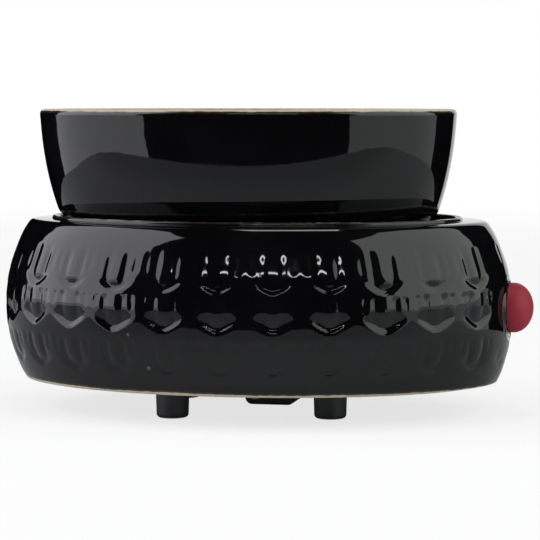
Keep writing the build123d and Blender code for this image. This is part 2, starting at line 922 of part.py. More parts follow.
with BuildPart() as switch_nut:
    hex_nut(
        end_face(switch_front),
        switch_nut_flats_radius,
        switch_thread_radius + thread_clearance,
        switch_nut_height,
    )
keep(switch_nut, "switch_nut")

with BuildPart() as switch_ring:
    disc(end_face(recess_floor), switch_ring_radius, switch_ring_height)
    ring_hole = switch_thread_radius + thread_clearance
    disc(end_face(recess_floor), ring_hole, switch_ring_height, Mode.SUBTRACT)
keep(switch_ring, "switch_ring")

# Button: a soft dome on a flanged stem, and the spring behind the flange
skirt_end = collar_face - cap_skirt
cap_ceiling = skirt_end + cap_hollow
flange_front = cavity_front - stem_gap
flange_back = flange_front - stem_flange

with BuildPart() as button_cap:
    with BuildSketch(Plane(origin=(oval_x, 0, button_z), x_dir=(1, 0, 0), z_dir=(0, -1, 0))):
        with BuildLine():
            skirt = Line((skirt_end, 0), (skirt_end, cap_radius))
            Line(skirt @ 1, (collar_face, cap_radius))
            EllipticalCenterArc((collar_face, 0), cap_stand, cap_radius, start_angle=0, arc_size=90)
            Line((cap_tip, 0), (skirt_end, 0))
        make_face()
    revolve(axis=Axis((oval_x, 0, button_z), (1, 0, 0)))
    disc(end_face(skirt_end), cap_radius - cap_wall, cap_hollow, Mode.SUBTRACT)
    socket_radius = stem_radius + cap_socket_clearance
    disc(end_face(cap_ceiling), socket_radius, cap_socket_depth, Mode.SUBTRACT)
keep(button_cap, "button_cap")

with BuildPart() as button_stem:
    stem_back = flange_back - stem_tail
    disc(end_face(stem_back), stem_radius, cap_ceiling + cap_socket_depth - stem_back)
    disc(end_face(flange_back), stem_flange_radius, stem_flange)
keep(button_stem, "button_stem")

spring_length = flange_back - switch_rear - (spring_wire_radius + spring_end_gap) * 2

with BuildPart() as button_spring:
    with BuildLine() as coil:
        Helix(
            spring_length / spring_turns,
            spring_length,
            spring_radius,
            center=(oval_x + switch_rear + spring_wire_radius + spring_end_gap, 0, button_z),
            direction=(1, 0, 0),
        )
    with BuildSketch(Plane(coil.line @ 0, z_dir=coil.line % 0)):
        Circle(spring_wire_radius)
    sweep(path=coil.line, is_frenet=True)
keep(button_spring, "button_spring")

# Sleeved leads: straight runs joined by arcs, from the block to the switch and the heater's tails
def lead_route(start, first_turn, last_turn, end, bow, shares):
    """A lead's points: straight at both ends, and bowed along Y and Z between its two turns."""
    turns = []
    for along, rise, out in shares:
        x = first_turn[0] + along * (last_turn[0] - first_turn[0])
        y = first_turn[1] + along * (last_turn[1] - first_turn[1]) + out * bow[0]
        z = first_turn[2] + rise * (last_turn[2] - first_turn[2]) + out * bow[1]
        turns.append((x, y, z))
    return [start, first_turn, *turns, last_turn, end]


port_mouth = block_x + block_length / 2 - port_entry
lead_routes = {
    "live_lead": lead_route(
        (port_mouth, block_pole_y, port_z),
        (port_mouth + port_run, block_pole_y, port_z),
        (tab_base_x - tab_run, tab_spread, button_z),
        (tab_base_x, tab_spread, button_z),
        (live_bow, 0),
        live_shares,
    ),
    "switch_lead": lead_route(
        (tab_base_x, -tab_spread, button_z),
        (tab_base_x - switch_run, -tab_spread, button_z),
        (bushing_x, bushing_y, tail_end_z - tail_run),
        (bushing_x, bushing_y, tail_end_z),
        (0, -switch_bow),
        switch_shares,
    ),
    "return_lead": lead_route(
        (port_mouth, -block_pole_y, port_z),
        (port_mouth + return_run, -block_pole_y, port_z),
        (-bushing_x, bushing_y, tail_end_z - return_tail_run),
        (-bushing_x, bushing_y, tail_end_z),
        (return_bow, 0),
        return_shares,
    ),
}


def corner_radii(points):
    """The arc at each corner of a route: as large as the shorter of its two runs allows."""
    radii = []
    for before, corner, after in zip(points, points[1:], points[2:]):
        run_in = Vector(*corner) - Vector(*before)
        run_out = Vector(*after) - Vector(*corner)
        half_turn = radians(run_in.get_angle(run_out)) / 2
        shorter = min(run_in.length, run_out.length)
        radii.append(sleeve_round_share * shorter / tan(half_turn))
    return radii


for name, points in lead_routes.items():
    radii = corner_radii(points)
    with BuildPart() as lead:
        with BuildLine() as route:
            FilletPolyline(*[(oval_x + x, y, z) for x, y, z in points], radius=radii)
        with BuildSketch(Plane(route.line @ 0, z_dir=route.line % 0)):
            Circle(sleeve_radius)
        sweep(path=route.line)
    expected = pi * sleeve_radius**2 * route.wire().length
    print(name, "radii", [round(radius, 1) for radius in radii])
    print(name, "volume over section times length", round(lead.part.volume / expected, 4))
    keep(lead, name)
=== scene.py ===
"""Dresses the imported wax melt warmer: glazed and clay surfaces, small parts and the studio
around them."""

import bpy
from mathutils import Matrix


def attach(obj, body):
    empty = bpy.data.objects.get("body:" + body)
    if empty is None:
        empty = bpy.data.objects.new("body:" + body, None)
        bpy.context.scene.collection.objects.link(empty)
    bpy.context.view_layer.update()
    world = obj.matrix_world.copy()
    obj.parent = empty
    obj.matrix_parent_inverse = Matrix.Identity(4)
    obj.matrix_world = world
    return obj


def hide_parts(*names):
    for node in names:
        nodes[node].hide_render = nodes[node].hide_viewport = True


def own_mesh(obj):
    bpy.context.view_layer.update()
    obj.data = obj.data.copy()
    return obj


bl_info = {
    "name": "Wax melt warmer",
    "version": (1, 0, 0),
    "blender": (4, 5, 0),
    "location": "3D View > Sidebar > Warmer",
    "description": "Builds the relief shell, the melt dish and the finishes of a ceramic "
                   "wax melt warmer",
    "category": "Object",
}

import math

import bpy
import numpy as np
from mathutils import Vector

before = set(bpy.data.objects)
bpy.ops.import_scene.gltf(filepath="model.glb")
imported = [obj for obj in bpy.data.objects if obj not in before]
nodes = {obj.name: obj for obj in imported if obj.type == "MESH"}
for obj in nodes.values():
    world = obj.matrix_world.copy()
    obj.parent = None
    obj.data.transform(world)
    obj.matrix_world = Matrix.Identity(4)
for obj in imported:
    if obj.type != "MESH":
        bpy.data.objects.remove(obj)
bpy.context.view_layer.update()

MM = 0.001
FRONT_COLUMN = 0.03  # how far the column nearest the front centre is turned, in columns

# Height share against the share of the draw there: up the side, the cavity's wall and the dish.
SIDE_SHARES = [(0, 0.78), (0.06, 0.57), (0.14, 0.37), (0.25, 0.15), (0.38, 0.03), (0.49, 0),
               (0.67, 0.13), (0.82, 0.42), (0.92, 0.69), (1, 1)]
CAVITY_SHARES = [(0, 1), (0.12, 0.62), (0.3, 0.2), (0.55, 0), (0.78, 0.18), (1, 0.6)]
DISH_SHARES = [(0, 1), (0.1, 0.8), (0.3, 0.5), (0.5, 0.28), (0.72, 0.12), (1, 0)]
# The shell bulges a little at its button's end: mm, and the bulge's share up the side.
END_SWELL = 1.9
SWELL_SHARES = [(0, 1), (0.27, 0.45), (0.49, 0), (0.72, 0.3), (1, 0.3)]
# The relief's ridges, lowest first: height up the side, then what relief says of each, mm.
RIDGES = [(14.2, 0.55, 0.9, 5.0, 0.34, 9.6, 2.0, 0.2),
          (25.9, 0.85, 0.6, 5.2, 0.30, 9.6, 2.0, 0.2),
          (35.9, 0.66, 0.6, 3.4, 0.30, 12.6, 6.0, 0)]
BUTTON_FADE = (11.5, 19.5)  # the relief fades in between these distances from the button, mm


# Sizes and colours

def length(name, description, default):
    return bpy.props.FloatProperty(name=name, description=description, default=default,
                                   min=0, precision=5, unit="LENGTH")


def count(name, description, default):
    return bpy.props.IntProperty(name=name, description=description, default=default, min=1)


def colour(name, description, default):
    return bpy.props.FloatVectorProperty(name=name, description=description, default=default,
                                         size=3, min=0, max=1, subtype="COLOR")


class WarmerSizes(bpy.types.PropertyGroup):
    """Sizes of the ceramic pieces"""

    centre_x: length("Oval centre", "How far the base's oval lies to the left of the origin",
                     0.0032)
    half_length: length("Half length", "Half of the base's length at its fullest height", 0.0704)
    half_width: length("Half width", "Half of the base's width at its fullest height", 0.05)
    foot_z: length("Foot rim", "Height of the shell's foot rim above the table", 0.0084)
    crest_z: length("Crest", "Height of the shell's crest", 0.0524)
    side_draw: length("Side draw", "How far the crest lies inside the fullest outline", 0.0072)
    crest_radius: length("Crest radius", "Rounding of the shell's crest", 0.0024)
    lip_top: length("Lip height", "Height of the bare lip round the deck", 0.0533)
    deck_z: length("Deck height", "Height of the deck inside the lip", 0.0504)
    columns: count("Relief columns", "Columns of the relief round the shell", 26)
    relief_depth: length("Relief depth", "Depth of the pockets of the relief", 0.001)
    button_z: length("Button height", "Height of the push button's axis", 0.0291)
    dish_set: length("Dish set-off", "How far the dish's centre lies to the left of the oval's",
                     0.0024)
    dish_length: length("Dish half length", "Half of the melt dish's length at its rim", 0.0582)
    dish_width: length("Dish half width", "Half of the melt dish's width at its rim", 0.042)
    dish_foot: length("Dish foot", "Height of the melt dish's underside", 0.0514)
    dish_rim: length("Dish rim", "Height of the melt dish's rim", 0.0826)
    dish_wall: length("Dish wall", "Thickness of the melt dish's wall", 0.004)


class WarmerColours(bpy.types.PropertyGroup):
    """Colours of the finishes"""

    glaze: colour("Glaze", "Black glaze", (0.0018, 0.0018, 0.0022))
    clay: colour("Clay", "Bare clay at the foot rim, the lip and the dish's rim",
                 (0.50, 0.44, 0.34))
    cap: colour("Button", "Soft cap of the push button", (0.29, 0.012, 0.030))
    rubber: colour("Rubber", "Feet", (0.025, 0.025, 0.028))
    floor: colour("Floor", "Studio floor", (0.84, 0.84, 0.845))


# Shader expressions

class Value:
    """A shader socket that takes part in arithmetic: each operator adds one Math node."""

    def __init__(self, tree, socket):
        self.tree = tree
        self.socket = socket

    def math(self, operation, *others):
        inputs = dict(enumerate((self, *others)))
        return self.tree.add("ShaderNodeMath", {"operation": operation}, inputs)

    def __add__(self, other):
        return self.math("ADD", other)

    def __mul__(self, other):
        return self.math("MULTIPLY", other)

    def __sub__(self, other):
        return self.math("SUBTRACT", other)

    def __rsub__(self, other):
        return self.tree.add("ShaderNodeMath", {"operation": "SUBTRACT"}, {0: other, 1: self})

    __radd__ = __add__
    __rmul__ = __mul__

    def above(self, edge, soft):
        """0 half a softness below the edge, 1 half a softness above it, smooth between."""
        return self.tree.add(
            "ShaderNodeMapRange", {"interpolation_type": "SMOOTHSTEP"},
            {"Value": self, "From Min": edge - soft / 2, "From Max": edge + soft / 2})


class Tree:
    """A material's or world's node tree and its one way of adding a node."""

    def __init__(self, owner):
        owner.use_nodes = True
        self.owner = owner
        self.tree = owner.node_tree
        self.tree.nodes.clear()

    def add(self, kind, settings=None, inputs=None, out=0):
        node = self.tree.nodes.new(kind)
        for key, setting in (settings or {}).items():
            setattr(node, key, setting)
        for key, given in (inputs or {}).items():
            socket = node.inputs[key]
            if isinstance(given, Value):
                self.tree.links.new(given.socket, socket)
            elif socket.type == "RGBA" and len(given) == 3:
                socket.default_value = (*given, 1)
            else:
                socket.default_value = given
        return Value(self, node.outputs[out]) if len(node.outputs) else None

    def position(self):
        """The object's own coordinates in metres."""
        return self.add("ShaderNodeTexCoord", out="Object")

    def part(self, place, axis):
        """One part of a place: X, Y or Z."""
        return self.add("ShaderNodeSeparateXYZ", None, {0: place}, out=axis)

    def moved(self, place, centre=(0, 0, 0), turn=(0, 0, 0), scale=(1, 1, 1)):
        return self.add("ShaderNodeMapping", {"vector_type": "TEXTURE"},
                        {"Vector": place, "Location": centre, "Rotation": turn, "Scale": scale})

    def noise(self, place, scale, detail=2.0, roughness=0.5):
        return self.add("ShaderNodeTexNoise", None, {"Vector": place, "Scale": scale,
                                                     "Detail": detail, "Roughness": roughness})

    def spots(self, place, scale, radius, share):
        """Round spots of one radius in a share of the cells of a scattered pattern."""
        cells = {"Vector": place, "Scale": scale}
        gap = self.add("ShaderNodeTexVoronoi", None, cells)
        pick = self.add("ShaderNodeTexVoronoi", None, cells, out="Color")
        luck = self.add("ShaderNodeSeparateColor", None, {0: pick}, out="Red")
        size = radius * scale
        return (1 - gap.above(size, size * 0.5)) * luck.above(1 - share, 0.01)

    def near(self, place, point, radius, soft=0.3):
        """1 inside a small ball round a point, 0 outside."""
        away = self.add("ShaderNodeVectorMath", {"operation": "DISTANCE"},
                        {0: place, 1: point}, out="Value")
        return 1 - away.above(radius, radius * soft)

    def mix(self, factor, first, second):
        return self.add("ShaderNodeMix", {"data_type": "RGBA"},
                        {0: factor, 6: first, 7: second}, out=2)

    def bump(self, height, distance, strength=1.0, under=None):
        inputs = {"Height": height, "Distance": distance, "Strength": strength}
        if under is not None:
            inputs["Normal"] = under
        return self.add("ShaderNodeBump", None, inputs)

    def surface(self, **inputs):
        """A Principled surface on the output; names are the shader's own with _ for a space."""
        inputs = {key.replace("_", " "): given for key, given in inputs.items()}
        shader = self.add("ShaderNodeBsdfPrincipled", None, inputs)
        self.add("ShaderNodeOutputMaterial", None, {"Surface": shader})
        return self.owner

    def matt(self, shade):
        """A plain matt surface on the output."""
        shader = self.add("ShaderNodeBsdfDiffuse", None, {"Color": shade})
        self.add("ShaderNodeOutputMaterial", None, {"Surface": shader})
        return self.owner


def new_tree(name):
    return Tree(bpy.data.materials.new(name))


# Finishes

def glaze_finish(name, look, bare_bands, marks=()):
    """Black glaze over clay. bare_bands holds (height, side): clay shows above (side 1) or below
    (side -1) that height. marks are small pinholes in the glaze."""
    t = new_tree(name)
    place = t.position()
    drift = t.noise(place, 420, 3) - 0.5
    slow = t.noise(place, 45, 2) - 0.5
    height = t.part(place, "Z") + drift * 0.0005 + slow * 0.0006

    def bands(margin, soft):
        """1 past any of the heights, less a margin."""
        past = None
        for level, side in bare_bands:
            band = height.above(level - side * margin, soft)
            band = band if side > 0 else 1 - band
            past = band if past is None else past.math("MAXIMUM", band)
        return past

    bare, thin = bands(0, 0.00025), bands(0.0004, 0.0009)
    grain = t.noise(place, 2600, 3, 0.6)
    clay = t.mix(grain.above(0.5, 0.5), tuple(c * 0.84 for c in look.clay), tuple(look.clay))
    stain = t.noise(place, 230, 3, 0.6).above(0.6, 0.2)
    clay = t.mix(stain * 0.45, clay, tuple(c * s for c, s in zip(look.clay, (0.72, 0.66, 0.58))))
    pool = t.noise(place, 60, 3)
    black = t.mix(pool.above(0.5, 0.5), tuple(look.glaze), tuple(c * 1.8 for c in look.glaze))
    brown = t.mix(thin * (1 - bare) * 0.7, black, (0.055, 0.036, 0.022))
    specks = t.spots(place, 95, 0.00017, 0.16)
    dust = t.spots(place, 260, 0.00009, 0.05)
    colour_out = t.mix((specks * 0.55).math("MAXIMUM", dust * 0.3), brown, (0.55, 0.55, 0.52))
    for point, radius in marks:
        ring = t.near(place, point, radius * 1.9) * 0.16
        colour_out = t.mix(ring, colour_out, (0.5, 0.48, 0.44))
        colour_out = t.mix(t.near(place, point, radius), colour_out, (0.003, 0.003, 0.003))
    colour_out = t.mix(bare, colour_out, clay)
    haze = t.noise(place, 140, 4).above(0.62, 0.3)
    rough = (haze * 0.035 + 0.035) * (1 - bare) + bare * 0.78
    peel = t.noise(place, 260, 2)
    skin = t.bump(peel, 0.000022, 0.6)
    tooth = t.bump(grain * bare, 0.00012, 0.8, skin)
    return t.surface(Base_Color=colour_out, Roughness=rough, IOR=1.5, Normal=tooth)


def metal_finish(name, shade, rough, scale=(900, 900, 900), turned=None, tarnish=0.12):
    """Metal with fine drawn lines, or turned rings round a point of the plan."""
    t = new_tree(name)
    place = t.position()
    if turned is None:
        lines = t.noise(t.moved(place, scale=tuple(1 / s for s in scale)), 1.0, 3)
    else:
        flat = t.moved(place, centre=(turned[0], turned[1], 0))
        ring = t.add("ShaderNodeVectorMath", {"operation": "MULTIPLY"}, {0: flat, 1: (1, 1, 0)})
        radius = t.add("ShaderNodeVectorMath", {"operation": "LENGTH"}, {0: ring}, out="Value")
        wander = t.noise(place, 90, 1) * 0.2
        lines = (radius * 9000 + wander).math("SINE") * 0.5 + 0.5
    patches = t.noise(place, 160, 3).above(0.55, 0.3)
    dull = tuple(c * (1 - tarnish * k) for c, k in zip(shade, (1.6, 2.0, 2.6)))
    tone = t.mix(patches, dull, shade)
    tone = t.mix(lines * 0.18, tone, tuple(c * 0.7 for c in shade))
    return t.surface(Base_Color=tone, Metallic=1.0, Roughness=patches * -0.08 + rough + 0.04,
                     Normal=t.bump(lines, 0.00002, 0.5))


def plastic_finish(name, shade, rough, grain=2400, depth=0.00003, wear=0.35):
    """Moulded plastic or rubber: a spark-eroded grain, faint flow marks and rubbed places."""
    t = new_tree(name)
    place = t.position()
    fine = t.noise(place, grain, 2, 0.6)
    flow = t.noise(t.moved(place, scale=(1, 1, 3)), 130, 3)
    lighter = tuple(min(1, c * (1 + wear) + 0.004) for c in shade)
    tone = t.mix(flow.above(0.52, 0.4), shade, lighter)
    tone = t.mix(fine.above(0.62, 0.2) * 0.3, tone, lighter)
    return t.surface(Base_Color=tone, Roughness=flow * 0.1 + fine * 0.08 + rough - 0.09,
                     Normal=t.bump(fine, depth, 0.5))


def mineral_finish(name, shade, second, rough, scale, stretch=(1, 1, 1), depth=0.00004):
    """Mica, fired ceramic or fibre: two tones in flakes or threads."""
    t = new_tree(name)
    place = t.position()
    drawn = t.moved(place, scale=stretch)
    flakes = t.add("ShaderNodeTexVoronoi", None, {"Vector": drawn, "Scale": scale})
    body = t.noise(drawn, scale * 0.6, 4, 0.6)
    tone = t.mix(body.above(0.5, 0.35), shade, second)
    tone = t.mix(flakes.above(0.45, 0.3) * 0.35, tone, tuple(min(1, c * 1.12) for c in shade))
    return t.surface(Base_Color=tone, Roughness=body * 0.2 + rough - 0.1,
                     Normal=t.bump(flakes + body, depth, 0.6))


def braid_finish(name, shade):
    """Braided glass sleeving: two sets of slanting threads over each other, with painted shade
    darkening the hollows of the weave.
    """
    t = new_tree(name)
    place = t.position()
    x, y, z = (t.part(place, axis) for axis in "XYZ")
    one = ((x + y + z) * 5200).math("SINE")
    two = ((x - y + z * 0.4) * 5200).math("SINE")
    weave = one * two * 0.5 + 0.5
    stain = t.noise(place, 300, 3)
    # Painted shade: the low parts of the weave, its hollows, are darker.
    tone = t.mix(weave.above(0.4, 0.5), tuple(c * 0.62 for c in shade), shade)
    tone = t.mix(stain.above(0.6, 0.2) * 0.25, tone, tuple(c * 0.75 for c in shade))
    return t.surface(Base_Color=tone, Roughness=stain * 0.1 + 0.66,
                     Normal=t.bump(weave, 0.0001, 0.6))


def cap_finish(name, look):
    """Soft-touch cap: matte, with a powdery bloom, and painted shade along its rim: a slightly
    deeper, darker red there.
    """
    t = new_tree(name)
    place = t.position()
    fine = t.noise(place, 3000, 2, 0.6)
    bloom = t.noise(place, 220, 3, 0.6)
    low = tuple(c * 0.86 for c in look.cap)
    tone = t.mix(bloom.above(0.5, 0.5), low, tuple(look.cap))
    tone = t.mix(fine.above(0.6, 0.2) * 0.16, tone, (0.36, 0.035, 0.06))
    # Painted shade: the cap's rim, nearest the shell, turns a slightly deeper, darker red.
    rim = 1 - t.part(place, "X").above(0.0685, 0.0012)
    tone = t.mix(rim * 0.75, tone, (0.30, 0.008, 0.02))
    return t.surface(Base_Color=tone, Roughness=bloom * 0.12 + 0.5, Specular_IOR_Level=0.35,
                     Normal=t.bump(fine, 0.00003, 0.5))


# Surfaces

def smooth_step(x, low, high):
    """0 up to low, 1 from high, 3t2 - 2t3 between."""
    t = np.clip((x - low) / (high - low), 0, 1)
    return t * t * (3 - 2 * t)


def through(points, x):
    """Smooth curve through points: cubic pieces whose slope at a point is the harmonic mean of
    its neighbours' slopes, and 0 where they turn, so it never swings past a point."""
    px, py = np.array(points, float).T
    step = np.diff(px)
    rise = np.diff(py) / step
    slope = np.zeros(len(px))
    one, two = 2 * step[1:] + step[:-1], step[1:] + 2 * step[:-1]
    same = rise[1:] * rise[:-1] > 0
    safe = [np.where(same, r, 1.0) for r in (rise[:-1], rise[1:])]
    slope[1:-1] = np.where(same, (one + two) / (one / safe[0] + two / safe[1]), 0)
    slope[0], slope[-1] = rise[0], rise[-1]
    k = np.clip(np.searchsorted(px, x) - 1, 0, len(step) - 1)
    t = (x - px[k]) / step[k]
    return ((2 * t**3 - 3 * t**2 + 1) * py[k] + (t**3 - 2 * t**2 + t) * step[k] * slope[k]
            + (3 * t**2 - 2 * t**3) * py[k + 1] + (t**3 - t**2) * step[k] * slope[k + 1])


def round_corner(start, corner, end, count):
    """Points of the quadratic curve from start to end that leans to corner, ends included."""
    t = np.linspace(0, 1, count)[:, None]
    start, corner, end = (np.array(p, float) for p in (start, corner, end))
    return (1 - t)**2 * start + 2 * t * (1 - t) * corner + t**2 * end


def even_angles(half_length, half_width, count):
    """Angles of an ellipse from -pi to pi that stand at even distances along its edge, then a
    fine series of its angles and the distance of each from the front centre (angle -pi/2),
    positive towards +X."""
    fine = np.linspace(-math.pi, math.pi, 20001)
    speed = np.hypot(half_length * np.sin(fine), half_width * np.cos(fine))
    run = np.concatenate([[0], np.cumsum((speed[1:] + speed[:-1]) / 2 * np.diff(fine))])
    run -= np.interp(-math.pi / 2, fine, run)
    places = np.linspace(run[0], run[-1], count, endpoint=False)
    return np.interp(places, run, fine), fine, run


def make_mesh(name, points, quads, triangles=np.empty((0, 3), int)):
    """A smooth-shaded mesh object from whole arrays, with its unused points left out."""
    used, loops = np.unique(np.concatenate([quads.ravel(), triangles.ravel()]),
                            return_inverse=True)
    starts = np.concatenate([np.arange(len(quads)) * 4,
                             len(quads) * 4 + np.arange(len(triangles)) * 3])
    mesh = bpy.data.meshes.new(name)
    mesh.vertices.add(len(used))
    mesh.vertices.foreach_set("co", (points[used] * MM).astype(np.float32).ravel())
    mesh.loops.add(len(loops))
    mesh.loops.foreach_set("vertex_index", loops.astype(np.int32))
    mesh.polygons.add(len(starts))
    mesh.polygons.foreach_set("loop_start", starts.astype(np.int32))
    mesh.polygons.foreach_set("use_smooth", np.ones(len(starts), bool))
    mesh.update(calc_edges=True)
    if mesh.validate():
        raise RuntimeError(f"{name} has faces that don't join up")
    piece = bpy.data.objects.new(name, mesh)
    bpy.context.scene.collection.objects.link(piece)
    return piece


def ring_quads(rows, around, closed_rows):
    """Faces between neighbouring rows of a grid that closes round its columns."""
    last = rows if closed_rows else rows - 1
    r, c = np.meshgrid(np.arange(last), np.arange(around), indexing="ij")
    up, on = (r + 1) % rows, (c + 1) % around
    return np.stack([r * around + c, r * around + on, up * around + on, up * around + c], -1)


# The relief

def zigzag(across):
    """Height of a zigzag line over its lowest point: a V with a rounded foot, mm."""
    return np.hypot(0.64 * np.abs(across), 0.9) - 0.9


def relief(along, height, levels, pitch):
    """How far the surface lies inside the smooth outline, in mm.

    along is the distance round the outline and height the distance up the profile. The outline
    is divided into columns, with across = 0 in the middle of each, and into rows by zigzag
    ridges that lie lowest in the middle of a column. Each of levels holds the height there of
    the ridge's face, the face's drop, half the height over which it drops, how far up the
    pocket behind it runs, the depth of the grooves above the pocket, how far up those reach,
    the length of their arched ends and the depth of a dimple beside each, all in mm. The
    pocket shallows up to a level line, and two grooves with arched tops hang beside a flat
    bar in the column's middle."""
    column = along / pitch - FRONT_COLUMN
    number = np.round(column)
    across = (column - number) * pitch
    # Each column lies a little higher or lower and a little aside, as in hand work.
    height = height + 0.12 * np.sin(number * 2.4 + 0.7) + 0.07 * np.sin(number * 5.1)
    side = np.abs(across + 0.12 * np.sin(number * 3.3))
    line = zigzag(across)
    # How far the grooves and the dimple lie from the column's middle, mm.
    groove_at, outer_at, dimple_at = 2.75, 5.6, 5.35
    total = np.zeros_like(height)
    wide = 1 - smooth_step(side, 3.2, 6.3)
    for drop_at, drop, soft, pocket, cut, reach, rise, dimple in levels:
        over = height - drop_at - line
        level = height - drop_at
        fall = np.clip(1 - (level - 0.6) / pocket, 0, 1)
        fall = fall * fall * (3 - 2 * fall) * (0.22 + 0.78 * wide)
        value = drop * smooth_step(over, -soft, soft) * fall
        bar = 1 - smooth_step(side, 1.1, 2.0)
        value -= 0.3 * drop * bar * smooth_step(over, 0.8, 2.4) * fall
        groove = np.exp(-((side - groove_at) / 1.05)**2)
        arch = smooth_step(reach - level + 0.5 * (side - groove_at)**2, 0, rise)
        outer = 0.42 * np.exp(-((side - outer_at) / 0.8)**2)
        outer *= smooth_step(reach - 0.8 - level, 0, rise)
        value += cut * (groove * arch + outer) * smooth_step(over, 0.8, 3.0)
        eye = np.exp(-((side - dimple_at)**2 + (reach - 1.4 - level)**2) / 0.5)
        value += dimple * eye * smooth_step(over, 0, 1)
        total = np.where(over > -soft, value, total)
    edge = smooth_step(side, pitch / 2 - 1.4, pitch / 2)
    return np.maximum(total, 0) * (1 - 0.8 * edge)


def square_rings(i, j):
    """Ring max(|i|, |j|) of each point of a square grid, and the angle that the point takes when
    the grid is bent round a circle."""
    wide = np.abs(i) >= np.abs(j)
    safe_i, safe_j = np.where(i == 0, 1, i), np.where(j == 0, 1, j)
    return (np.maximum(np.abs(i), np.abs(j)),
            np.where(wide, math.pi / 4 * j / safe_i + np.where(i < 0, math.pi, 0),
                     np.sign(j) * math.pi / 2 - math.pi / 4 * i / safe_j))


def button_patch(rings, radii, regular_y, regular_z, centre_z, whole, end):
    """Bends the middle of a square grid round a circle: each ring of the grid takes the radius
    given for it, and from ring whole to ring end goes back to the regular grid."""
    i, j = np.meshgrid(np.arange(-end, end + 1), np.arange(-end, end + 1))
    ring, angle = square_rings(i, j)
    radius = np.interp(ring, rings, radii)
    keep = 1 - smooth_step(ring.astype(float), whole, end)
    y = keep * radius * np.cos(angle) + (1 - keep) * regular_y
    z = keep * (centre_z + radius * np.sin(angle)) + (1 - keep) * regular_z
    return ring, y, z


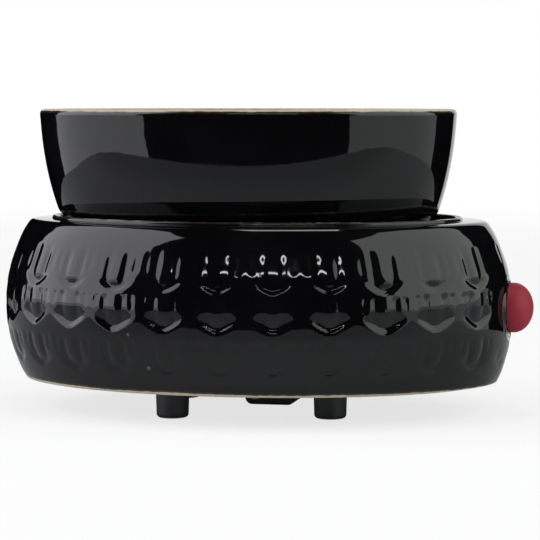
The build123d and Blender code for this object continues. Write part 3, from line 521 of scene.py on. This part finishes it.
def shell_piece(s):
    """The glazed base as one closed surface: a profile that runs from the foot rim up the relief
    side, over the crest and the lip, across the deck, through the seat and the round opening,
    back under the deck, down the cavity's wall and round the ledge, carried round the oval."""
    a, b = s.half_length / MM, s.half_width / MM
    foot, crest, draw = s.foot_z / MM, s.crest_z / MM, s.side_draw / MM
    button = s.button_z / MM
    pitch_cells, side_rows = 26, 84
    foot_edge = 0.4
    around = s.columns * pitch_cells
    angles, fine_angle, fine_run = even_angles(a, b, around)
    pitch = (fine_run[-1] - fine_run[0]) / s.columns

    # The side as a dense line of (inset, z): the draw's shares, then the crest's rounding.
    z_line = np.linspace(foot + foot_edge, crest, 900)
    side = np.stack([draw * through(SIDE_SHARES, (z_line - foot) / (crest - foot)), z_line], 1)
    crest_turn = math.radians(57.6)
    reach = s.crest_radius / MM * math.tan(crest_turn / 2)
    cut = np.searchsorted(-np.hypot(*(side - side[-1]).T), -reach)
    side = np.concatenate([side[:cut], round_corner(side[cut], side[-1],
                                                    (draw + reach, crest), 60)])
    # The run along it counts from where run and z are both 30.
    gap = np.hypot(*np.diff(side, axis=0).T)
    run = np.concatenate([[0], np.cumsum(gap)])
    climb = slice(0, cut)
    run += 30 - np.interp(30, side[climb, 1], run[climb])
    rows = np.linspace(run[0], run[-1], side_rows)
    inset_row, z_row = (np.interp(rows, run, side[:, k]) for k in (0, 1))
    levels = [(np.interp(z_ridge, side[climb, 1], run[climb]), *form) for z_ridge, *form in RIDGES]

    angle = np.repeat(angles[None], side_rows, 0)
    inset = np.repeat(inset_row[:, None], around, 1)
    z = np.repeat(z_row[:, None], around, 1)
    height = np.repeat(rows[:, None], around, 1)

    def swell(angle, z):
        share = through(SWELL_SHARES, np.clip((z - foot) / (crest - foot), 0, 1))
        return END_SWELL * share * np.maximum(0, np.cos(angle))**4

    inset = inset - swell(angle, z)

    # The button's end: rings 0 to 12 floor, 12 to 17 collar, then back to the plain grid. Half
    # sizes in cells, of the whole square, of its round rings and of the hole.
    end, whole, hole = 28, 19, 8
    hole_radius = 4.6
    middle = around // 2
    centre = int(np.argmin(np.abs(z_row - button)))
    ys, xs = slice(centre - end, centre + end + 1), slice(middle - end, middle + end + 1)
    rings = [0, 8, 12, 13, 14, 15, 16, 17, 18, 19, end]
    radii = [0, hole_radius, 7.15, 7.2, 7.35, 7.6, 7.85, 8.15, 8.6, 9.3,
             end * pitch / pitch_cells]
    faces = [68.5, 68.5, 68.5, 70.0, 70.2, 70.25, 70.2, 70.0]
    ring, patch_y, patch_z = button_patch(
        rings, radii, ((b - inset) * np.sin(angle))[ys, xs], z[ys, xs], button, whole, end)
    patch_inset = draw * through(SIDE_SHARES, (patch_z - foot) / (crest - foot))
    patch_inset -= swell(np.arcsin(patch_y / b), patch_z)
    z[ys, xs] = patch_z
    inset[ys, xs] = patch_inset
    angle[ys, xs] = np.arcsin(patch_y / (b - patch_inset))
    height[ys, xs] = np.interp(patch_z, side[climb, 1], run[climb])
    fade = smooth_step(np.hypot((b - inset) * np.sin(angle), z - button), *BUTTON_FADE)
    fade[np.cos(angle) < 0] = 1  # the other end has no button

    # Inward displacement square to the smooth surface.
    along = np.interp(angle, fine_angle, fine_run)
    deep = relief(along, height, levels, pitch) * fade * s.relief_depth / MM
    deep *= 1 - smooth_step(height, run[-1] - 1.2, run[-1])
    half_a, half_b = a - inset, b - inset
    # The slope's heights are set a hair apart, so that no two are equal.
    slope = np.gradient(side[:, 0], side[:, 1] + np.arange(len(side)) * 1e-9)
    lean = np.interp(height, run, np.clip(slope, -3, 3))
    plan = np.stack([np.cos(angle) / half_a, np.sin(angle) / half_b], -1)
    plan /= np.linalg.norm(plan, axis=-1, keepdims=True)
    normal = np.concatenate([plan, lean[..., None]], -1)
    normal /= np.linalg.norm(normal, axis=-1, keepdims=True)
    outside = np.stack([half_a * np.cos(angle), half_b * np.sin(angle), z], -1)
    outside -= normal * deep[..., None]
    face = np.interp(ring, rings[:len(faces)], faces)
    part = outside[ys, xs]
    part[..., 0] = np.where(ring <= 17, face, part[..., 0] + 0.12 * (ring == 18))
    outside[ys, xs] = part

    # The rest of the profile as (half length, half width, z) rows.
    def oval(inset_mm, z_mm):
        return (a - inset_mm, b - inset_mm, z_mm)

    def disc(radius, z_mm):
        return (radius, radius, z_mm)

    lip_out, lip_in, lip, deck = 13.1, 14.9, s.lip_top / MM, s.deck_z / MM
    seat, seat_z, opening, under_deck = 27.6, 48.4, 23.0, 45.8
    top = [oval(lip_out - 0.35, crest), oval(lip_out - 0.08, crest + 0.03),
           oval(lip_out, crest + 0.15)]
    top += [oval(*p) for p in round_corner((lip_out, lip - 0.6), (lip_out, lip),
                                           (lip_out + 0.6, lip), 4)]
    top += [oval(*p) for p in round_corner((lip_in - 0.6, lip), (lip_in, lip),
                                           (lip_in, lip - 0.6), 4)]
    top += [oval(lip_in, deck + 0.3), oval(lip_in + 0.3, deck), oval(17.5, deck),
            disc(seat + 0.6, deck), disc(seat + 0.1, deck - 0.08), disc(seat, deck - 0.3),
            disc(seat, seat_z), disc(opening + 0.2, seat_z), disc(opening, seat_z - 0.2),
            disc(opening, under_deck), (44.0, 33.0, under_deck)]
    cavity_a, cavity_b, cavity_low, cavity_draw = 65.8, 45.4, 11.9, 5.8
    above = [under_deck, 43.5, 41.0, 38.8, 36.8]
    beside = np.arange(hole, -hole - 1, -1) * hole_radius / hole + button
    below = [23.2, 20.6, 17.6, 14.6, cavity_low]
    cavity_z = np.concatenate([above, beside, below])
    shares = through(CAVITY_SHARES, (cavity_z - cavity_low) / (under_deck - cavity_low))
    cavity = [(cavity_a - cavity_draw * w, cavity_b - cavity_draw * w, q)
              for w, q in zip(shares, cavity_z)]
    ledge = 8.016
    end_rows = [oval(ledge, cavity_low), oval(ledge, foot + foot_edge),
                oval(ledge - 0.12, foot + 0.1),
                oval(ledge - 0.45, foot), oval(6.0, foot), oval(5.62, foot + 0.08)]
    rest = np.array(top + cavity + end_rows)
    inside = np.stack([rest[:, :1] * np.cos(angles), rest[:, 1:2] * np.sin(angles),
                       np.repeat(rest[:, 2:], around, 1)], -1)
    # The cavity's wall round the switch: the same square of cells bent round its hole, on a
    # flat boss. It goes back to the plain grid within these cells across, and up past the hole.
    across_in, up_in = 20, 4
    boss_face = 61.5
    first = len(top) + len(above)
    rows_in = slice(first - up_in, first + 2 * hole + up_in + 1)
    i, j = np.meshgrid(np.arange(-across_in, across_in + 1),
                       np.arange(hole + up_in, -hole - up_in - 1, -1))
    cols = slice(middle - across_in, middle + across_in + 1)
    ring_in, turn = square_rings(i, j)
    small = np.minimum(ring_in, 12) * hole_radius / hole
    outward = np.maximum(np.abs(i) / across_in, (np.abs(j) - hole) / up_in)
    keep = 1 - smooth_step(outward, 0.42, 1)
    part = inside[rows_in, cols]
    part[..., 1] = keep * small * np.cos(turn) + (1 - keep) * part[..., 1]
    part[..., 2] = keep * (button + small * np.sin(turn)) + (1 - keep) * part[..., 2]
    away = np.hypot(part[..., 1], part[..., 2] - button)
    boss = 1 - smooth_step(away, 9.5, 10.6)
    part[..., 0] = boss * boss_face + (1 - boss) * part[..., 0]
    inside[rows_in, cols] = part

    points = np.concatenate([outside, inside]).reshape(-1, 3)
    total = side_rows + len(rest)
    quads = ring_quads(total, around, True)
    gone = np.zeros(quads.shape[:2], bool)
    block = slice(middle - hole, middle + hole)
    gone[centre - hole:centre + hole, block] = True
    first_in = side_rows + first
    gone[first_in:first_in + 2 * hole, block] = True
    # The hole's wall joins the two squares' borders, walked the same way round.
    steps = range(-hole, hole)
    walk = ([(-hole, k) for k in steps] + [(k, hole) for k in steps]
            + [(hole, -k) for k in steps] + [(-k, -hole) for k in steps])
    outer_loop = np.array([(centre + r) * around + middle + c for r, c in walk])
    inner_loop = np.array([(first_in + hole - r) * around + middle + c for r, c in walk])
    tunnel = np.stack([np.roll(outer_loop, -1), outer_loop, inner_loop, np.roll(inner_loop, -1)], 1)
    quads = np.concatenate([quads[~gone], tunnel])
    points[:, 0] -= s.centre_x / MM
    return make_mesh("relief_shell", points, quads)


def dish_piece(s):
    """The melt dish as one closed surface: from the middle of its underside out over a rounded
    corner, up the drawn side, over the rim, down inside and in over the floor. A row's two half
    axes follow from its height, because the dish is drawn more in width than in length."""
    a, b = s.dish_length / MM, s.dish_width / MM
    low, high, wall = s.dish_foot / MM, s.dish_rim / MM, s.dish_wall / MM
    floor, corner, inner, rim = 4.4, 4.0, 6.0, 1.5
    draw_long, draw_wide = 6.4, 9.0
    around = 416

    def axes(z, inward):
        w = through(DISH_SHARES, np.clip((z - low) / (high - low), 0, 1))
        return np.stack([a - draw_long * w - inward, b - draw_wide * w - inward, z], -1)

    turn = np.linspace(0, math.pi / 2, 12)
    outer_corner = axes(low + corner * (1 - np.cos(turn)), corner * (1 - np.sin(turn)))
    outer_side = axes(np.linspace(low + corner, high - rim, 46)[1:-1], 0.0)
    rim_out = axes(high - rim + rim * np.sin(turn), rim * (1 - np.cos(turn)))
    rim_in = axes(high - rim + rim * np.cos(turn), wall - rim * (1 - np.sin(turn)))
    bottom = low + floor
    inner_side = axes(np.linspace(high - rim, bottom + inner, 36)[1:-1], wall)
    inner_corner = axes(bottom + inner * (1 - np.sin(turn)), wall + inner * (1 - np.cos(turn)))
    under = outer_corner[0] * np.array([[f, f, 1] for f in (0.05, 0.3, 0.55, 0.8, 0.95)])
    inside = inner_corner[-1] * np.array([[f, f, 1] for f in (0.97, 0.88, 0.7, 0.45, 0.2, 0.05)])
    rows = np.concatenate([under, outer_corner, outer_side, rim_out, rim_in, inner_side,
                           inner_corner, inside])
    angles, _, _ = even_angles(a, b, around)
    # Hand-made unevenness, a few hundredths of a millimetre and nowhere outwards.
    wave = 1 - 0.0009 * (1 + np.sin(3 * angles + 0.4)) - 0.0005 * (1 + np.sin(7 * angles + 2))
    points = np.stack([rows[:, :1] * np.cos(angles) * wave, rows[:, 1:2] * np.sin(angles) * wave,
                       np.repeat(rows[:, 2:], around, 1)], -1).reshape(-1, 3)
    quads = ring_quads(len(rows), around, False).reshape(-1, 4)
    poles = np.array([[0, 0, low], [0, 0, bottom]])
    first, last = np.arange(around), (len(rows) - 1) * around + np.arange(around)
    triangles = np.concatenate([
        np.stack([np.roll(first, -1), first, np.full(around, len(points))], 1),
        np.stack([last, np.roll(last, -1), np.full(around, len(points) + 1)], 1)])
    points = np.concatenate([points, poles])
    points[:, 0] -= (s.centre_x + s.dish_set) / MM
    return make_mesh("glazed_dish", points, quads, triangles)


# Operators

def dress(names, material):
    for name in names:
        slots = nodes[name].data.materials
        slots.clear()
        slots.append(material)


class WARMER_OT_shell(bpy.types.Operator):
    """Glazed base with its raised zigzag relief, bare lip and bare foot rim"""

    bl_idname = "warmer.shell"
    bl_label = "Relief shell"

    def execute(self, context):
        piece = shell_piece(context.scene.warmer_sizes)
        foot_bare, lip_bare = (0.0091, -1), (0.05335, 1)
        pinholes = [((-0.0269, -0.0460, 0.0245), 0.00045), ((-0.0218, -0.0462, 0.0156), 0.0003)]
        piece.data.materials.append(glaze_finish(
            "black_glaze_base", context.scene.warmer_colours, [foot_bare, lip_bare], pinholes))
        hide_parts("base_shell")
        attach(piece, "base")
        return {"FINISHED"}


class WARMER_OT_dish(bpy.types.Operator):
    """Glazed melt dish with a worn clay edge along its rim"""

    bl_idname = "warmer.dish"
    bl_label = "Melt dish"

    def execute(self, context):
        piece = dish_piece(context.scene.warmer_sizes)
        rim_bare, foot_bare = (0.08215, 1), (0.0516, -1)
        piece.data.materials.append(glaze_finish(
            "black_glaze_dish", context.scene.warmer_colours, [rim_bare, foot_bare]))
        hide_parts("melt_dish")
        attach(piece, "dish")
        return {"FINISHED"}


class WARMER_OT_button(bpy.types.Operator):
    """Red soft cap, its stem, the ring round them and the switch behind"""

    bl_idname = "warmer.button"
    bl_label = "Push button and switch"

    def execute(self, context):
        dress(["button_cap"], cap_finish("red_soft_cap", context.scene.warmer_colours))
        dress(["button_stem"], plastic_finish("stem_white", (0.82, 0.82, 0.80), 0.42))
        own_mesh(nodes["button_spring"])
        dress(["switch_case", "switch_back", "switch_nut", "switch_ring"],
              plastic_finish("switch_black", (0.03, 0.03, 0.032), 0.4))
        return {"FINISHED"}


class WARMER_OT_underside(bpy.types.Operator):
    """Rubber feet, bottom cover, cord gland and their screws"""

    bl_idname = "warmer.underside"
    bl_label = "Feet, cover and gland"

    def execute(self, context):
        look = context.scene.warmer_colours
        dress(["front_left_foot", "front_right_foot", "back_left_foot", "back_right_foot"],
              plastic_finish("foot_rubber", tuple(look.rubber), 0.42, 1500, 0.00005, 0.5))
        dress(["bottom_cover"],
              plastic_finish("cover_black", (0.03, 0.03, 0.032), 0.5, 1300, 0.00006))
        dress(["cord_gland"], plastic_finish("gland_black", (0.024, 0.024, 0.026), 0.34, 2600))
        dress(["gland_screw"], metal_finish("screw_brass", (0.80, 0.62, 0.30), 0.26))
        return {"FINISHED"}


class WARMER_OT_metalwork(bpy.types.Operator):
    """Turned plate, pressed steel parts, screws, nuts, posts and the brass terminals"""

    bl_idname = "warmer.metalwork"
    bl_label = "Metal parts"

    def execute(self, context):
        dress(["warming_plate"], metal_finish("turned_plate", (0.75, 0.76, 0.78), 0.3,
                                              turned=(-0.0032, 0)))
        dress(["clamp_plate", "clamp_nut", "tie_rod", "shield_nut", "cutoff_strap", "heat_shield",
               "left_post", "right_post", "cover_screws", "foot_screws", "gland_fixings",
               "block_fixing"], metal_finish("zinc_plate", (0.66, 0.67, 0.69), 0.32,
                                             (300, 300, 2400)))
        dress(["thermal_cutoff"], metal_finish("cutoff_can", (0.70, 0.70, 0.71), 0.24,
                                               (2200, 300, 2200)))
        dress(["button_spring"], metal_finish("spring_wire", (0.62, 0.62, 0.64), 0.22,
                                              (2500, 600, 600)))
        dress(["heater_ribbon", "heater_tails"],
              metal_finish("resistance_ribbon", (0.5, 0.47, 0.44), 0.38, (3000, 400, 400),
                           tarnish=0.2))
        dress(["terminal_screws", "switch_tabs"],
              metal_finish("terminal_brass", (0.78, 0.6, 0.3), 0.3))
        return {"FINISHED"}


class WARMER_OT_insulation(bpy.types.Operator):
    """Mica boards, fibre pad, gasket, ceramic bushings, terminal block and sleeved leads"""

    bl_idname = "warmer.insulation"
    bl_label = "Insulation and leads"

    def execute(self, context):
        dress(["upper_mica", "lower_mica", "heater_card"],
              mineral_finish("mica_board", (0.62, 0.55, 0.42), (0.48, 0.41, 0.30), 0.4, 420))
        dress(["insulation_pad"],
              mineral_finish("fibre_pad", (0.86, 0.85, 0.81), (0.74, 0.73, 0.70), 0.9, 900,
                             (1, 4, 1), 0.0002))
        dress(["lead_bushings"],
              mineral_finish("bushing_ceramic", (0.87, 0.86, 0.82), (0.80, 0.78, 0.72), 0.32, 300))
        dress(["plate_gasket"], plastic_finish("gasket_silicone", (0.65, 0.2, 0.12), 0.55))
        dress(["terminal_block"], plastic_finish("block_white", (0.82, 0.82, 0.80), 0.4, wear=0.05))
        dress(["live_lead", "switch_lead", "return_lead"],
              braid_finish("glass_sleeving", (0.8, 0.78, 0.7)))
        return {"FINISHED"}


def curved_card(name, radius, start, stop, low, high):
    """Upright part of a cylinder round the object: angle across, height up, mm. Angles in degrees
    from the front, positive towards +X."""
    across, up = 60, 4
    turn, z = np.meshgrid(np.radians(np.linspace(start, stop, across)), np.linspace(low, high, up))
    points = np.stack([radius * np.sin(turn), -radius * np.cos(turn), z], -1)
    r, c = np.meshgrid(np.arange(up - 1), np.arange(across - 1), indexing="ij")
    corner = r * across + c
    quads = np.stack([corner, corner + 1, corner + across + 1, corner + across], -1)
    return make_mesh(name, points.reshape(-1, 3), quads.reshape(-1, 4))


def round_sheet(name, inner, outer, z, centre=(0, 0), steps=8, stretch=1, square=1):
    """Flat ring or disc as a polar grid, mm, stretched along X. A square below 1 fills the
    corners of the box round it."""
    around = 96
    radius, turn = np.meshgrid(np.linspace(inner, outer, steps),
                               np.linspace(0, 2 * math.pi, around, endpoint=False), indexing="ij")
    x, y = (np.sign(part) * np.abs(part)**square for part in (np.cos(turn), np.sin(turn)))
    points = np.stack([centre[0] + stretch * radius * x, centre[1] + radius * y,
                       np.full_like(radius, z)], -1)
    quads = ring_quads(steps, around, False).reshape(-1, 4)
    return make_mesh(name, points.reshape(-1, 3), quads)


def hide_card(card, material):
    """Gives a card its finish and hides it from the camera, matt surfaces and shadows."""
    card.data.materials.append(material)
    card.visible_camera = False
    card.visible_diffuse = False
    card.visible_shadow = False


def softbox(name, place, target, wide, high, radiance, tint):
    """Rectangular light of an even radiance, metres."""
    lamp = bpy.data.lights.new(name, "AREA")
    lamp.shape = "RECTANGLE"
    lamp.size, lamp.size_y = wide, high
    lamp.energy = radiance * wide * high * math.pi
    lamp.color = tint
    body = bpy.data.objects.new(name, lamp)
    body.location = place
    body.rotation_euler = (Vector(target) - Vector(place)).to_track_quat("-Z", "Y").to_euler()
    body.visible_camera = False
    bpy.context.scene.collection.objects.link(body)


class WARMER_OT_stage(bpy.types.Operator):
    """Pale floor, two side softboxes with dimmer lower parts, a front strip, a top box, cards
    for the glaze to reflect, and the camera"""

    bl_idname = "warmer.stage"
    bl_label = "Floor, lights and camera"

    def execute(self, context):
        look = context.scene.warmer_colours
        scene = context.scene

        # Floor: matt and pale, partly white to the camera, and plain white far from the object.
        floor = round_sheet("floor", 0.5, 4000, 0, steps=12)
        t = new_tree("studio_floor")
        place = t.position()
        reach = t.add("ShaderNodeVectorMath", {"operation": "LENGTH"}, {0: place}, out="Value")
        seen = t.add("ShaderNodeLightPath", out="Is Camera Ray")
        mottle = t.noise(place, 9, 2)
        shade = t.mix(mottle.above(0.5, 0.6), tuple(look.floor),
                      tuple(c * 0.985 for c in look.floor))
        matt = t.add("ShaderNodeBsdfDiffuse", None, {"Color": shade})
        white = t.add("ShaderNodeEmission", None, {"Color": (1, 1, 1), "Strength": 1.0})
        both = t.add("ShaderNodeMixShader", None,
                     {0: (reach.above(0.75, 1.1) * 0.25 + 0.75) * seen, 1: matt, 2: white})
        t.add("ShaderNodeOutputMaterial", None, {"Surface": both})
        floor.data.materials.append(t.owner)
        floor.visible_glossy = False

        # A card is what the glaze reflects of the table. It is paler near the object and darker far
        # from it: painted light and shade on the card.
        card = round_sheet("table_card", 0.5, 160, 0.3, (10, -4), stretch=1.8, square=0.5)
        t = new_tree("white_card")
        place = t.position()
        fibre = t.noise(place, 300, 2)
        tone = t.mix(fibre, (0.43, 0.435, 0.445), (0.47, 0.475, 0.485))
        # Painted shade: the card turns darker in front of the object, past about 0.1 m.
        far_painted_shade = 1 - (t.part(place, "Y") + fibre * 0.004).above(-0.1, 0.08)
        hide_card(card, t.matt(t.mix(far_painted_shade, tone, (0.30, 0.305, 0.315))))

        # Dark cards all round but for a gap behind, and overhead.
        t = new_tree("black_card")
        place = t.position()
        nap = t.noise(place, 40, 2)
        dark = t.matt(t.mix(nap, (0.0015, 0.0015, 0.0018), (0.004, 0.004, 0.005)))
        hide_card(curved_card("front_card", 1500, -158, 158, -1500, 1700), dark)
        hide_card(round_sheet("top_card", 0.5, 1700, 1700), dark)

        softbox("left_softbox", (-0.70, -0.19, 0.51), (0, -0.001, 0.34), 0.9, 1.0, 2.5,
                (0.96, 0.955, 1.0))
        softbox("left_softbox_low", (-0.811, -0.22, -0.176), (0, 0, -0.176), 1.04, 0.4, 1.35,
                (0.95, 0.96, 1.0))
        softbox("right_softbox", (0.72, -0.10, 0.51), (0, 0, 0.33), 1.05, 1.0, 1.7,
                (0.93, 1.0, 0.94))
        softbox("right_softbox_low", (0.839, -0.117, -0.175), (0, 0, -0.175), 1.22, 0.4, 0.85,
                (0.93, 1.0, 0.95))
        softbox("front_strip", (0.085, -0.71, 0.465), (0, 0, 0.045), 0.40, 0.022, 14.0, (1, 1, 1))
        softbox("top_box", (0.02, -0.06, 0.95), (0, 0, 0.05), 0.34, 0.30, 5.0, (1, 1, 1))

        world = bpy.data.worlds.new("studio")
        scene.world = world
        t = Tree(world)
        camera_ray = t.add("ShaderNodeLightPath", out="Is Camera Ray")
        glossy_ray = t.add("ShaderNodeLightPath", out="Is Glossy Ray")
        through_ray = t.add("ShaderNodeLightPath", out="Is Transmission Ray")
        seen = (camera_ray + glossy_ray + through_ray).math("MINIMUM", 1.0)
        fill = t.add("ShaderNodeBackground", None, {"Color": (1, 1, 1), "Strength": 0.35})
        white = t.add("ShaderNodeBackground", None, {"Color": (1, 1, 1), "Strength": 1.0})
        both = t.add("ShaderNodeMixShader", None, {0: seen, 1: fill, 2: white})
        t.add("ShaderNodeOutputWorld", None, {"Surface": both})

        scene.view_settings.view_transform = "Standard"
        lens = bpy.data.cameras.new("camera")
        lens.lens = 156.42
        lens.sensor_width = 36.0
        lens.clip_start = 0.02
        lens.clip_end = 20.0
        camera = bpy.data.objects.new("camera", lens)
        camera.location = (0.13301, -0.63263, 0.08695)
        camera.rotation_euler = (math.radians(90 - 4.310), 0, math.radians(11.799))
        scene.collection.objects.link(camera)
        scene.camera = camera
        return {"FINISHED"}


OPERATORS = (WARMER_OT_stage, WARMER_OT_shell, WARMER_OT_dish, WARMER_OT_button,
             WARMER_OT_underside, WARMER_OT_metalwork, WARMER_OT_insulation)


class WARMER_PT_panel(bpy.types.Panel):
    """Sizes, colours and the pieces of the warmer"""

    bl_idname = "WARMER_PT_panel"
    bl_label = "Wax melt warmer"
    bl_space_type = "VIEW_3D"
    bl_region_type = "UI"
    bl_category = "Warmer"

    def draw(self, context):
        for group in (context.scene.warmer_sizes, context.scene.warmer_colours):
            box = self.layout.box()
            for key in group.__annotations__:
                box.prop(group, key)
        for operator in OPERATORS:
            self.layout.operator(operator.bl_idname)


CLASSES = (WarmerSizes, WarmerColours, *OPERATORS, WARMER_PT_panel)


def register():
    for cls in CLASSES:
        bpy.utils.register_class(cls)
    bpy.types.Scene.warmer_sizes = bpy.props.PointerProperty(type=WarmerSizes)
    bpy.types.Scene.warmer_colours = bpy.props.PointerProperty(type=WarmerColours)


def unregister():
    del bpy.types.Scene.warmer_colours
    del bpy.types.Scene.warmer_sizes
    for cls in reversed(CLASSES):
        bpy.utils.unregister_class(cls)


def main():
    register()
    bpy.ops.warmer.stage()
    bpy.ops.warmer.shell()
    bpy.ops.warmer.dish()
    bpy.ops.warmer.button()
    bpy.ops.warmer.underside()
    bpy.ops.warmer.metalwork()
    bpy.ops.warmer.insulation()


if __name__ == "__main__":
    main()
